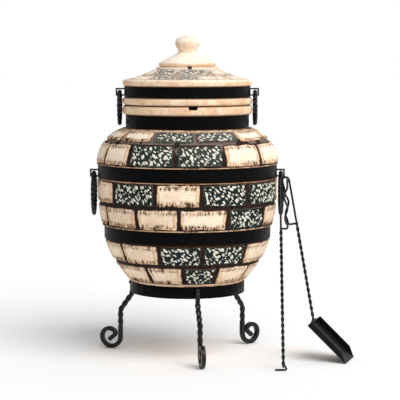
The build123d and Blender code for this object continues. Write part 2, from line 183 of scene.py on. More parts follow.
# ------------------------------ profiles
def through(a, b, c, step):
    """Points after a on the arc from a through b to c."""
    (ax, ay), (bx, by), (cx, cy) = a, b, c
    d = 2 * (ax * (by - cy) + bx * (cy - ay) + cx * (ay - by))
    ux = ((ax**2 + ay**2) * (by - cy) + (bx**2 + by**2) * (cy - ay) + (cx**2 + cy**2) * (ay - by)) / d
    uy = ((ax**2 + ay**2) * (cx - bx) + (bx**2 + by**2) * (ax - cx) + (cx**2 + cy**2) * (bx - ax)) / d
    radius = math.hypot(ax - ux, ay - uy)
    start = math.atan2(ay - uy, ax - ux)
    turn = (math.atan2(cy - uy, cx - ux) - start) % (2 * math.pi)
    middle = (math.atan2(by - uy, bx - ux) - start) % (2 * math.pi)
    if middle > turn:
        turn -= 2 * math.pi
    count = max(2, math.ceil(abs(turn) * radius / step))
    angles = [start + turn * i / count for i in range(1, count + 1)]
    return [(ux + radius * math.cos(angle), uy + radius * math.sin(angle)) for angle in angles]


def along(a, b, step):
    """Points after a on the straight line from a to b."""
    count = max(1, math.ceil(math.dist(a, b) / step))
    return [(a[0] + (b[0] - a[0]) * i / count, a[1] + (b[1] - a[1]) * i / count)
            for i in range(1, count + 1)]


def profile(start, *legs):
    """Points and zone names along legs of (zone, step, end) or (zone, step, via, end)."""
    points, zones = [start], [legs[0][0]]
    for leg in legs:
        zone, step, ends = leg[0], leg[1], leg[2:]
        new = along(points[-1], ends[0], step) if len(ends) == 1 else through(points[-1], *ends, step)
        points += new
        zones += [zone] * len(new)
    return np.array(points, float), np.array(zones)


# ------------------------------ mesh making
def add_mesh(name, points, faces, body, material, replaces=(), paint=None, masks=None, sharp=42):
    """A piece of the object from points in millimetres."""
    mesh = bpy.data.meshes.new(name)
    mesh.from_pydata((np.asarray(points, float) * MM).tolist(), [], faces)
    mesh.polygons.foreach_set("use_smooth", [True] * len(mesh.polygons))
    mesh.set_sharp_from_angle(angle=math.radians(sharp))
    if paint is not None:
        layer = mesh.attributes.new("paint", "FLOAT_COLOR", "POINT")
        rgba = np.concatenate([np.clip(paint, 0, 1), np.ones((len(paint), 1))], 1)
        layer.data.foreach_set("color", rgba.astype(np.float32).ravel())
        for number, mask in enumerate(("gloss", "knob", "grout", "nick")):
            layer = mesh.attributes.new(mask, "FLOAT", "POINT")
            layer.data.foreach_set("value", masks[:, number].astype(np.float32))
    mesh.materials.append(material)
    mesh.update()
    piece = bpy.data.objects.new(name, mesh)
    bpy.context.scene.collection.objects.link(piece)
    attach(piece, body)
    if replaces:
        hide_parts(*replaces)
    return piece


def full_turn(count):
    """Angles of even steps round a circle."""
    return np.arange(count) * 2 * math.pi / count


def arc_lengths(points):
    return np.concatenate([[0], np.cumsum(np.linalg.norm(np.diff(points, axis=0), axis=1))])


def headings(points, closed):
    """Unit vectors along a path."""
    slope = np.roll(points, -1, 0) - np.roll(points, 1, 0) if closed else np.gradient(points, axis=0)
    return slope / np.maximum(np.linalg.norm(slope, axis=1, keepdims=True), 1e-9)


def grid_faces(rows, columns, closed):
    """Faces between rows of points, with a cap at each end unless the last row meets the first."""
    index = np.arange(rows * columns).reshape(rows, columns)
    i = np.arange(rows if closed else rows - 1)
    a, b = index[i], index[(i + 1) % rows]
    quads = np.stack([a, np.roll(a, -1, 1), np.roll(b, -1, 1), b], -1).reshape(-1, 4).tolist()
    if not closed:
        quads += [index[0][::-1].tolist(), index[-1].tolist()]
    return quads


def turned(points, columns, relief, closed):
    """Grid of a profile turned round Z, pushed out by relief along the profile's normal. Closed
    profiles form a ring; open ones get a cap at each end, which lies on the axis."""
    slope = headings(points, closed)
    theta = full_turn(columns)
    radius = points[:, :1] + relief * slope[:, 1:2]
    height = points[:, 1:2] - relief * slope[:, :1]
    xyz = np.stack([radius * np.sin(theta), -radius * np.cos(theta), height + 0 * theta], -1)
    return xyz, grid_faces(len(points), columns, closed)


def swept(points, side, sections, closed=False):
    """A bar along a flat path whose plane has the normal side. sections holds each point's outline
    as (across, along side) pairs."""
    points = np.asarray(points, float)
    side = np.asarray(side, float)
    across = np.cross(side, headings(points, closed))
    xyz = points[:, None] + sections[..., :1] * across[:, None] + sections[..., 1:] * side
    return xyz.reshape(-1, 3), grid_faces(*sections.shape[:2], closed)


def outline(half_a, half_b, count, power):
    """A rounded rectangle, squarer for a higher power."""
    turn = full_turn(count)
    c, s = np.cos(turn), np.sin(turn)
    reach = (np.abs(c) ** power + np.abs(s) ** power) ** (-1 / power)
    return np.stack([half_a * reach * c, half_b * reach * s], -1)


def twisted(section, angles):
    """One copy of a section for each angle."""
    c, s = np.cos(angles)[:, None], np.sin(angles)[:, None]
    a, b = section[:, 0], section[:, 1]
    return np.stack([a * c - b * s, a * s + b * c], -1)


def resample(points, step, closed=False):
    """Evenly spaced points along a path, and how far along it each one lies."""
    points = np.asarray(points, float)
    if closed:
        points = np.concatenate([points, points[:1]])
    length = arc_lengths(points)
    count = max(3, int(round(length[-1] / step)))
    at = np.linspace(0, length[-1], count + 1)
    out = np.stack([np.interp(at, length, points[:, k]) for k in range(points.shape[1])], -1)
    return (out[:-1], at[:-1]) if closed else (out, at)


def smoothed(points, rounds=4):
    """Corners cut off again and again until the path is a smooth curve with the same ends."""
    points = np.asarray(points, float)
    for _ in range(rounds):
        near = 0.75 * points[:-1] + 0.25 * points[1:]
        far = 0.25 * points[:-1] + 0.75 * points[1:]
        inner = np.stack([near, far], 1).reshape(-1, points.shape[1])
        points = np.concatenate([points[:1], inner[1:-1], points[-1:]])
    return points


def joined(*parts):
    """Several (points, faces) as one."""
    points, faces, start = [], [], 0
    for xyz, quads in parts:
        points.append(xyz)
        faces += [[k + start for k in q] for q in quads]
        start += len(xyz)
    return np.concatenate(points), faces


# ------------------------------ materials
def new_material(name):
    material = bpy.data.materials.new(name)
    material.use_nodes = True
    nodes = material.node_tree.nodes
    return material, nodes, material.node_tree.links, nodes["Principled BSDF"]


def noise_node(nodes, links, scale, detail, roughness=0.6, stretch=(1, 1, 1)):
    coords = nodes.new("ShaderNodeTexCoord")
    mapping = nodes.new("ShaderNodeMapping")
    mapping.inputs["Scale"].default_value = stretch
    texture = nodes.new("ShaderNodeTexNoise")
    texture.inputs["Scale"].default_value = scale
    texture.inputs["Detail"].default_value = detail
    texture.inputs["Roughness"].default_value = roughness
    links.new(coords.outputs["Object"], mapping.inputs["Vector"])
    links.new(mapping.outputs["Vector"], texture.inputs["Vector"])
    return texture.outputs["Fac"]


def ramp_node(nodes, links, source, stops):
    ramp = nodes.new("ShaderNodeValToRGB")
    elements = ramp.color_ramp.elements
    while len(elements) < len(stops):
        elements.new(0.5)
    for element, (place, colour) in zip(elements, stops):
        element.position = place
        element.color = (*colour, 1)
    links.new(source, ramp.inputs["Fac"])
    return ramp.outputs["Color"]


def mix_node(nodes, links, kind, factor, first, second):
    mix = nodes.new("ShaderNodeMix")
    mix.data_type = "RGBA"
    mix.blend_type = kind
    if isinstance(factor, float):
        mix.inputs["Factor"].default_value = factor
    else:
        links.new(factor, mix.inputs["Factor"])
    links.new(first, mix.inputs[6])
    if isinstance(second, tuple):
        mix.inputs[7].default_value = (*second, 1)
    else:
        links.new(second, mix.inputs[7])
    return mix.outputs[2]


def bump_node(nodes, links, height, distance, strength, normal=None):
    bump = nodes.new("ShaderNodeBump")
    bump.inputs["Distance"].default_value = distance
    bump.inputs["Strength"].default_value = strength
    links.new(height, bump.inputs["Height"])
    if normal is not None:
        links.new(normal, bump.inputs["Normal"])
    return bump.outputs["Normal"]


def attribute_node(nodes, name, output="Fac"):
    attribute = nodes.new("ShaderNodeAttribute")
    attribute.attribute_name = name
    return attribute.outputs[output]


def crisp_mask(nodes, links, name, ragged, scale, edge):
    """A mask attribute with a sharp, ragged edge where it passes 0.5."""
    sway = nodes.new("ShaderNodeMath")
    sway.operation = "MULTIPLY_ADD"
    links.new(noise_node(nodes, links, scale, 4), sway.inputs[0])
    sway.inputs[1].default_value = ragged
    links.new(attribute_node(nodes, name), sway.inputs[2])
    middle = 0.5 + ragged / 2
    stops = [(middle - edge, (0, 0, 0)), (middle + edge, (1, 1, 1))]
    return ramp_node(nodes, links, sway.outputs[0], stops)


def clay_material(name, knob_colour, grout_colour):
    """Painted clay: the paint attribute, with knobs, grout and nicks from the masks, and streaks,
    pits and grain on top."""
    material, nodes, links, shader = new_material(name)
    cloud = ramp_node(nodes, links, noise_node(nodes, links, 22, 6, 0.62),
                      [(0.3, (0.92, 0.86, 0.80)), (0.55, (1.0, 1.0, 1.0)), (0.8, (1.0, 1.0, 1.0))])
    streak = ramp_node(nodes, links, noise_node(nodes, links, 70, 6, 0.72, (1.0, 1.0, 3.0)),
                       [(0.34, (0.80, 0.70, 0.60)), (0.47, (1.0, 1.0, 1.0)), (0.75, (1.0, 1.0, 1.0))])
    pit_mask = ramp_node(nodes, links, noise_node(nodes, links, 240, 2, 0.5),
                         [(0.66, (0, 0, 0)), (0.74, (1, 1, 1))])
    knob_tone = ramp_node(nodes, links, noise_node(nodes, links, 160, 3),
                          [(0.3, tuple(0.72 * knob_colour)), (0.6, tuple(knob_colour))])
    grout_tone = ramp_node(nodes, links, noise_node(nodes, links, 90, 6, 0.7),
                           [(0.35, tuple(0.5 * grout_colour)), (0.7, tuple(1.6 * grout_colour))])
    colour = mix_node(nodes, links, "MULTIPLY", 1.0, attribute_node(nodes, "paint", "Color"), cloud)
    colour = mix_node(nodes, links, "MULTIPLY", 0.8, colour, streak)
    pits = mix_node(nodes, links, "MULTIPLY", 0.6, colour, (0.42, 0.30, 0.22))
    colour = mix_node(nodes, links, "MIX", pit_mask, colour, pits)
    for mask, ragged, scale, edge, tone in (("knob", 0.22, 300, 0.04, knob_tone),
                                            ("nick", 0.5, 350, 0.08, grout_tone),
                                            ("grout", 0.36, 260, 0.06, grout_tone)):
        shown = crisp_mask(nodes, links, mask, ragged, scale, edge)
        colour = mix_node(nodes, links, "MIX", shown, colour, tone)
    links.new(colour, shader.inputs["Base Color"])
    grain = noise_node(nodes, links, 900, 3, 0.6)
    rough = nodes.new("ShaderNodeMath")
    rough.operation = "MULTIPLY_ADD"
    links.new(grain, rough.inputs[0])
    rough.inputs[1].default_value = 0.18
    less = nodes.new("ShaderNodeMath")
    less.operation = "SUBTRACT"
    less.inputs[0].default_value = 0.72
    links.new(attribute_node(nodes, "gloss"), less.inputs[1])
    links.new(less.outputs[0], rough.inputs[2])
    links.new(rough.outputs[0], shader.inputs["Roughness"])
    coarse = bump_node(nodes, links, noise_node(nodes, links, 120, 5, 0.6), 0.0009, 0.5)
    fine = bump_node(nodes, links, grain, 0.0003, 0.4, coarse)
    links.new(fine, shader.inputs["Normal"])
    shader.inputs["Specular IOR Level"].default_value = 0.22
    return material


def metal_material(name, dark, light, scale, roughness, bump, metallic=0.0,
                   scuff=(0.012, 0.0115, 0.011), sheen=0.22):
    """Painted or cast iron: mottled tone, worn patches and a forged or cast grain."""
    material, nodes, links, shader = new_material(name)
    tone = ramp_node(nodes, links, noise_node(nodes, links, scale, 6), [(0.35, dark), (0.7, light)])
    worn = ramp_node(nodes, links, noise_node(nodes, links, scale * 2.7, 8, 0.75),
                     [(0.62, (0, 0, 0)), (0.72, (1, 1, 1))])
    colour = mix_node(nodes, links, "MIX", worn, tone, scuff)
    links.new(colour, shader.inputs["Base Color"])
    shine = ramp_node(nodes, links, noise_node(nodes, links, scale * 1.6, 4),
                      [(0.3, (roughness[0],) * 3), (0.7, (roughness[1],) * 3)])
    links.new(shine, shader.inputs["Roughness"])
    coarse = bump_node(nodes, links, noise_node(nodes, links, scale * 1.3, 4), bump, 0.6)
    fine = bump_node(nodes, links, noise_node(nodes, links, 1500, 2), bump * 0.25, 0.4, coarse)
    links.new(fine, shader.inputs["Normal"])
    shader.inputs["Metallic"].default_value = metallic
    shader.inputs["Specular IOR Level"].default_value = sheen
    return material


CLAY = clay_material("painted_clay", KNOB_CREAM, GROUT)
LID_CLAY = clay_material("painted_lid_clay", CREAM * 0.95, LID_GROUT)
HOOP = metal_material("hoop_paint", (0.001,) * 3, (0.003,) * 3, 60, (0.34, 0.5), 0.0006, sheen=0.05)
IRON = metal_material("forged_iron", (0.002,) * 3, (0.006,) * 3, 120, (0.22, 0.38), 0.0008, sheen=0.3)
GRATE = metal_material("cast_grate", (0.03, 0.028, 0.026), (0.08, 0.07, 0.06), 150, (0.7, 0.9), 0.0016,
                       0.4, (0.16, 0.09, 0.05))
SHEET = metal_material("black_sheet", (0.003,) * 3, (0.008,) * 3, 45, (0.28, 0.45), 0.0004, sheen=0.13)
BOLT = metal_material("blackened_steel", (0.02,) * 3, (0.06, 0.058, 0.055), 200, (0.35, 0.6), 0.0003, 0.6)


# ------------------------------ tiles
def ring_of_joints(front, kinds, rng):
    """Joint angles all round in degrees, and whether the tile after each joint is hammered."""
    span = 360 - (front[-1] - front[0])
    count = round(span / BACK_SPACING)
    steps = rng.uniform(0.85, 1.15, count)
    steps *= span / steps.sum()
    back = list(rng.random(count) < 0.28)
    back[0], back[-1] = bool(kinds[-1]), bool(kinds[0])
    angles = list(front) + list(front[-1] + np.cumsum(steps))[:-1]
    return np.array(angles), np.array([bool(k) for k in kinds[1:-1]] + back)


def tile_grid(theta, arc, radius, row, seed, rng):
    """How the points near a row lie on its tiles. u and v run from a tile's middle, flat is the clay
    unrolled, and depth grows inwards from the tile's uneven edge."""
    low, high, front, kinds = row
    angles, hammered = ring_of_joints(front, kinds, rng)
    edges = np.radians(np.append(angles, angles[0] + 360))
    around = (theta - edges[0]) % (2 * math.pi) + edges[0]
    tile = np.clip(np.searchsorted(edges, around, side="right") - 1, 0, len(angles) - 1)
    centre = (edges[tile] + edges[tile + 1]) / 2
    half = (edges[tile + 1] - edges[tile]) / 2
    u = (around - centre)[None] * radius
    half_u = half[None] * radius - JOINT_WIDTH / 2
    v = arc - (low + high) / 2 + 0 * u
    half_v = (high - low) / 2
    flat = [around[None] * radius.mean() + 0 * v, arc + 0 * u]
    wobble = 3.2 * (noise(flat, 17, seed) - 0.5) + 1.6 * (noise(flat, 6, seed + 1) - 0.5)
    corner = min(TILE_CORNER, half_v * 0.5)
    du, dv = np.abs(u) - (half_u - corner), np.abs(v) - (half_v - corner)
    outside = np.hypot(np.maximum(du, 0), np.maximum(dv, 0)) + np.minimum(np.maximum(du, dv), 0)
    depth = -(outside - corner + wobble)
    narrow = high - low < NARROW_ROW
    frame_width = NARROW_FRAME_WIDTH if narrow else FRAME_WIDTH
    return SimpleNamespace(
        tile=tile, u=u, v=v, half_v=half_v, flat=flat, depth=depth, narrow=narrow, frame_width=frame_width,
        hammered=hammered[tile][None] & np.ones_like(u, bool), edge=ease(depth / TILE_BEVEL),
        panel=ease((depth - frame_width) / PANEL_SLOPE), grain=fractal(flat, 26, seed + 2),
        fine=fractal(flat, 5, seed + 6, 3))


def nicks(at, number, seed):
    """Short scattered cuts along the inside of a plain tile's border."""
    reach = at.half_v - np.abs(at.v)
    sway = 0.35 * (noise(at.flat, 14, seed + 9) - 0.5)
    slot = np.floor(at.u / NICK_PITCH + sway).astype(np.int64)
    upper = (at.v > 0).astype(np.int64)
    chance = hashed([slot + 97 * at.tile[None], upper + 2 * number], 23)
    offset = (at.u / NICK_PITCH - slot - 0.5) * NICK_PITCH
    length = 2.2 + 6.5 * hashed([slot, upper + at.tile[None]], 29) ** 2
    across = np.clip(1 - np.abs(offset + 0.25 * (reach - at.frame_width)) / 2.1, 0, 1)
    lengthways = np.clip(1.4 - np.abs(reach - at.frame_width - 1.5) / length * 1.4, 0, 1)
    present = (chance > 0.55) * (at.depth > 4.5) * (0 if at.narrow else 1)
    return ease(across * lengthways * present * 1.6)


def plain_tile(at, nick, number, seed):
    """Relief and paint of a plain tile: a raised border round a smooth panel, with dirt rubbed into
    its lower and upper edges."""
    relief = (-GROUT_DEPTH * (1 - at.edge) - PANEL_DEPTH * at.panel - 1.5 * nick
              + 1.1 * (at.grain - 0.5) + 0.5 * (at.fine - 0.5))
    tone = hashed([at.tile + 40 * number], 5)[None] + 0 * at.u
    creamy = ease(0.25 + 0.9 * at.panel * at.grain + 0.25 * (at.v / at.half_v))
    paint = blend_colour(BISQUE + 0 * at.edge[..., None], CREAM, creamy) * (0.93 + 0.10 * tone)[..., None]
    paint = blend_colour(paint, OCHRE, 0.35 * ease((at.fine - 0.55) * 5) * (1 - 0.8 * at.panel))
    strokes = ease((noise([at.flat[0] / 3.0, at.flat[1] / 15], 1, seed + 15) - 0.42) * 4.5)
    patches = ease((fractal([at.flat[0], at.flat[1] * 2.2], 34, seed + 18) - 0.43) * 6)
    reach = at.half_v - np.abs(at.v)
    rim_gate = ease((at.frame_width + 11 - reach) / 11) * ease(reach / 2)
    low_gate = np.where(at.v < 0, 1.0, 0.7)
    dirt = rim_gate * low_gate * strokes * (0.45 + 0.55 * patches)
    dirt = np.maximum(dirt, 0.75 * patches * ease((-at.v - at.half_v + 14) / 10) * (0.4 + 0.6 * strokes))
    paint = blend_colour(paint, UMBER, np.clip(1.15 * dirt, 0, 1))
    scored = ease(1 - np.abs(at.depth - at.frame_width - 0.8) / 1.6)
    scored = scored * ease((noise(at.flat, 15, seed + 12) - 0.38) * 5)
    return relief, blend_colour(paint, OCHRE * 0.5, 0.75 * scored)


def hammered_tile(at, faded, seed):
    """Relief, paint, knob mask and inner area of a hammered tile, with pale knobs in green glaze."""
    knob = knob_field(at.flat[0], at.flat[1], seed + 21)
    inside = ease((at.depth - 2.5) / 2.5)
    dome = ease((KNOB_EDGE + 0.16 - knob) / 0.40) * inside
    relief = -GROUT_DEPTH * (1 - at.edge) - GROUND_DEPTH * inside * (1 - dome) + 0.5 * (at.fine - 0.5)
    mottled = blend_colour(GLAZE + 0 * at.edge[..., None], GLAZE_DARK, ease((at.fine - 0.28) * 3.5))
    paint = blend_colour(mottled, GLAZE_GREY, faded * (0.4 + 0.9 * at.grain))
    mask = np.clip(0.5 + 1.1 * (KNOB_EDGE + 0.12 * (at.grain - 0.5) - knob), 0, 1)
    return relief, paint, mask * inside * at.hammered, inside


def weathered_and_shadowed(paint, at, faded):
    """Rust-brown tile edges, a bleached panel, ash in the joints and a painted shadow line under each tile.
    """
    paint = blend_colour(paint, OCHRE * 0.8, 0.45 * ease((3.2 - at.depth) / 2.0) * ease((at.fine - 0.35) * 4))
    paint = blend_colour(paint, CHALK_AND_HIGHLIGHT, faded ** 0.5 * 0.6 * at.panel * ~at.hammered)
    paint = blend_colour(paint, ASH, ease((1.9 - at.depth) / 1.2))
    # Painted shadow: a near-black line just inside the edge of each tile's lower half
    return blend_colour(paint, GLAZE_DARK, ease(1 - np.abs(at.depth - 0.8) / 1.3) * (at.v < 0))


def grout_reach(rows, number, v):
    """How far a row's grout goes past its tiles: halfway to a near row, or else a strip."""
    below = rows[number][0] - rows[number - 1][1] if number else math.inf
    above = rows[number + 1][0] - rows[number][1] if number + 1 < len(rows) else math.inf
    reaches = [gap / 2 + 1.6 if gap < NEIGHBOUR_GAP else STRIP_GROUT for gap in (below, above)]
    return np.where(v < 0, *reaches)


def lay_tiles(theta, arc, radius, rows, relief, colour, masks, washed, rng):
    """Carves and paints rows of tiles in place. Rows are (lower arc, upper arc, joints, kinds), and
    washed says how far each row has faded. The masks are gloss, knob, grout and nick."""
    for number, row in enumerate(rows):
        low, high = row[:2]
        seed = 100 + 37 * number
        faded = washed[number]
        picked = np.where((arc > low - ROW_MARGIN) & (arc < high + ROW_MARGIN))[0]
        at = tile_grid(theta, arc[picked][:, None], radius[picked][:, None], row, seed, rng)
        nick = nicks(at, number, seed)
        plain_relief, plain = plain_tile(at, nick, number, seed)
        glaze_relief, glaze, knob_mask, inside = hammered_tile(at, faded, seed)
        tile_relief = np.where(at.hammered, glaze_relief, plain_relief)
        paint = weathered_and_shadowed(np.where(at.hammered[..., None], glaze, plain), at, faded)
        dusty = faded * 0.85 > noise(at.flat, 24, seed + 24)
        grout_mask = np.where(dusty, 0, np.clip(0.5 + (1.1 - at.depth) / 5, 0, 1))
        shiny = np.where(at.hammered, 0.34 * inside, 0.16 * at.panel) * at.edge
        found = np.stack([shiny, knob_mask, grout_mask, nick * ~at.hammered], -1)
        cover = ease((at.half_v + grout_reach(rows, number, at.v) - np.abs(at.v)) / 1.4)
        relief[picked] = relief[picked] * (1 - cover) + tile_relief * cover
        colour[picked] = blend_colour(colour[picked], paint, cover)
        masks[picked] = masks[picked] * (1 - cover[..., None]) + found * cover[..., None]


def row_arcs(rows, places, arcs):
    """The rows with arc lengths in place of the heights or radii of their edges."""
    return [(float(np.interp(low, places, arcs)), float(np.interp(high, places, arcs)), *rest)
            for low, high, *rest in rows]


def dull_zones(zone, relief, colour, soot):
    """Bare seats for the hoops and a sooty inside, in place."""
    relief[zone == "seat"] = 0
    colour[zone == "seat"] = OCHRE * 0.6
    inner = zone == "inner"
    colour[inner] = blend_colour(colour[inner] * 0.4, SOOT, np.full(relief[inner].shape, soot))


# Painted shade in the creases of the rim and lid: height and half-width, on the clay between two radii
SHADED_CREASES = ((670, 3.0), (696, 3.2), (717, 2.4), (748, 2.4))
SHADED_CREASE_RADII = (160, 181)


def bare_clay(points, columns, seed, amount=0.7):
    """Relief, colour and masks of smooth peach clay with a hand-worked wobble."""
    theta = full_turn(columns)
    arc = arc_lengths(points)[:, None]
    r = np.maximum(points[:, :1], 1.0)
    x, y = r * np.sin(theta), r * np.cos(theta)
    z = points[:, 1:2] + 0 * theta
    place = [x, y, z + 0 * arc]
    soft = fractal(place, 34, seed, 3)
    fine = fractal(place, 6, seed + 4, 3)
    relief = amount * (soft - 0.5) + 0.35 * amount * (fine - 0.5)
    pits = ease((noise(place, 4.5, seed + 8) - 0.90) * 14)
    relief = relief - 0.8 * pits
    colour = blend_colour(PEACH + 0 * relief[..., None], CREAM, 0.70 * ease((soft - 0.30) * 2.2))
    colour = blend_colour(colour, OCHRE, 0.35 * ease((fine - 0.55) * 5))
    colour = blend_colour(colour, UMBER, 0.8 * pits)
    # Painted shade: umber along each crease, where shade falls between the rim's rounded beads
    for crease, span in SHADED_CREASES:
        near = ease(1.2 - np.abs(z - crease) / span + 0.9 * (soft - 0.5))
        near = near * (r > SHADED_CREASE_RADII[0]) * (r < SHADED_CREASE_RADII[1])
        colour = blend_colour(colour, UMBER, 0.85 * near)
    masks = np.zeros(relief.shape + (4,))
    masks[..., 0] = 0.06
    return relief, colour, masks


# ------------------------------ vessel
TILE_STEP = 1.9
VESSEL_COLUMNS = 800
VESSEL_NODES = [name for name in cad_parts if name.startswith("vessel")]
# Seats of the hoops: radius, lower edge, upper edge
LOWER_SEAT, BELLY_SEAT, NECK_SEAT = (228.5, 328, 365), (246, 496, 534), (168, 633, 670)
SHOULDER = (177, NECK_SEAT[1])
RIM_TOP, RIM_RADIUS, MOUTH = 696, 180, 135
NOTCH_ANGLE, NOTCH_WIDTH, NOTCH_DEPTH = math.radians(5.4), 22, 9
PORT_HEIGHT, PORT_RADIUS, POCKET_RADIUS, POCKET_START, PORT_END = 237, 20, 29, 174, 114

vessel_line, vessel_zone = profile(
    (1.5, 176), ("under", 10, (140, 176)), ("foot", 3, (153.5, 208)), ("foot", 2, (157.5, 208)),
    ("tiles", TILE_STEP, (204, 266), (230, LOWER_SEAT[1])), ("seat", 2, LOWER_SEAT[:2]),
    ("seat", 6, LOWER_SEAT[::2]), ("seat", 2, (237, LOWER_SEAT[2])),
    ("tiles", TILE_STEP, (246, 415), (249.5, BELLY_SEAT[1])), ("seat", 2, BELLY_SEAT[:2]),
    ("seat", 6, BELLY_SEAT[::2]), ("seat", 2, (252, BELLY_SEAT[2])),
    ("tiles", TILE_STEP, (236.5, 588), SHOULDER), ("seat", 2, NECK_SEAT[:2]), ("seat", 6, NECK_SEAT[::2]),
    ("rim", 2, (171, NECK_SEAT[2])),
    ("rim", 1.5, (177.4, 672.6), (RIM_RADIUS, 679)), ("rim", 2, (RIM_RADIUS, 686)),
    ("rim", 1.5, (177.1, 693.1), (170, RIM_TOP)), ("rim", 3, (MOUTH, RIM_TOP)),
    ("inner", 4, (MOUTH, 645)), ("inner", 6, (190, 607), (208, 534)),
    ("inner", 8, (205, 430), (187, 330)), ("inner", 8, (150, 262)), ("inner", 8, (112, 262)),
    ("inner", 8, (112, 212)), ("inner", 10, (1.5, 212)))
# Edges of the tiled clay at the stand ring and the hoops, and whether rust runs along each one; the other
# edges get a dark line of painted shade where the clay meets the iron
TILED_EDGES = ((LOWER_SEAT[1], True), (LOWER_SEAT[2], False), (BELLY_SEAT[1], True),
               (BELLY_SEAT[2], False), (NECK_SEAT[1], False), (208, False))
WASHED = (0, 0, 0, 0, 0.25, 0.85)


def turned_about(xyz, angle):
    """How far points lie sideways of, and out along, a line at this angle from the front."""
    aside = xyz[..., 0] * math.cos(angle) + xyz[..., 1] * math.sin(angle)
    return aside, xyz[..., 0] * math.sin(angle) - xyz[..., 1] * math.cos(angle)


def vessel():
    """The tiled pot, with its rim notch and air port."""
    theta = full_turn(VESSEL_COLUMNS)
    arc = arc_lengths(vessel_line)
    relief, colour, masks = bare_clay(vessel_line, VESSEL_COLUMNS, 400)
    z = vessel_line[:, 1]
    strip = vessel_zone == "tiles"
    colour[strip] = blend_colour(colour[strip], BISQUE, np.full(relief[strip].shape, 0.6))
    sway = 2.5 * (noise([theta[None] * 240, 0 * theta[None]], 9, 31) - 0.5)
    # Rust under the lower and belly hoops; elsewhere a grout-dark line of painted shade in the crevice
    # between clay and iron
    for tiled_edge, rusty in TILED_EDGES:
        away = np.abs(z - tiled_edge)[:, None] + sway
        near = ease((2.2 - away) / 1.4) * strip[:, None]
        colour[:] = blend_colour(colour, RUST if rusty else GROUT, near * 0.85)
    rows = row_arcs(BODY_ROWS, z[strip], arc[strip])
    lay_tiles(theta, arc, vessel_line[:, 0], rows, relief, colour, masks, WASHED, np.random.default_rng(7))
    dull_zones(vessel_zone, relief, colour, 0.75)
    xyz, quads = turned(vessel_line, VESSEL_COLUMNS, relief, closed=False)

    # Notch through the rim
    aside, outward = turned_about(xyz, NOTCH_ANGLE)
    floor = RIM_TOP - NOTCH_DEPTH * ease((NOTCH_WIDTH / 2 + 2.2 - np.abs(aside)) / 2.6)
    cut = (outward > 100) & (xyz[..., 2] > floor) & (np.abs(aside) < NOTCH_WIDTH)
    xyz[..., 2] = np.where(cut, floor + 0.03 * (xyz[..., 2] - floor), xyz[..., 2])
    # Painted shade: the deeper part of the notch is painted dark umber
    colour[cut & (floor < RIM_TOP - 2)] = UMBER * 0.5

    # Air port at the back: a pocket for the plug's head, and the hole behind it
    from_port = np.hypot(xyz[..., 0], xyz[..., 2] - PORT_HEIGHT)
    back = (vessel_zone == "tiles")[:, None] & (xyz[..., 1] > 0)
    pocket = back & (from_port < POCKET_RADIUS) & (xyz[..., 1] > POCKET_START)
    xyz[..., 1] = np.where(pocket, POCKET_START, xyz[..., 1])
    hole = back & (from_port < PORT_RADIUS)
    xyz[..., 1] = np.where(hole, PORT_END, xyz[..., 1])
    colour[pocket] = OCHRE * 0.8
    colour[hole] = SOOT
    return add_mesh("vessel_clay", xyz.reshape(-1, 3), quads, "oven", CLAY, VESSEL_NODES,
                    colour.reshape(-1, 3), masks.reshape(-1, 4), 60)


# ------------------------------ lid, cap and plug
LID_COLUMNS = 560
COLLAR_NOTCH_ANGLE, COLLAR_NOTCH_WIDTH, COLLAR_NOTCH_DEPTH = math.radians(5), 13, 4.5
LID_WASHED = (0.35, 0.30)

lid_line, lid_zone = profile(
    (131, 696.3), ("rim", 6, (170, 696.3)), ("rim", 1.5, (177.1, 699.2), (180, 706.3)),
    ("rim", 2, (180, 708)), ("rim", 1.5, (177.4, 714.4), (171.5, 717)), ("seat", 2, (172, 717)),
    ("seat", 6, (172, 748)),
    ("rim", 2, (173, 748)), ("rim", 1.5, (177.2, 749.9), (179, 754.5)), ("rim", 2, (179, 758)),
    ("rim", 1.5, (176.4, 764.4), (170, 767)), ("rim", 2, (168, 767)),
    ("tiles", TILE_STEP, (129, 778), (85, 797)), ("collar", 1, (85, 800.5)), ("collar", 3, (44, 800.5)),
    ("inner", 6, (44, 770)),
    ("inner", 6, (95, 745), (118, 705)), ("inner", 4, (118, 686)), ("inner", 3, (131, 686)),
    ("inner", 2.5, (131, 694)))


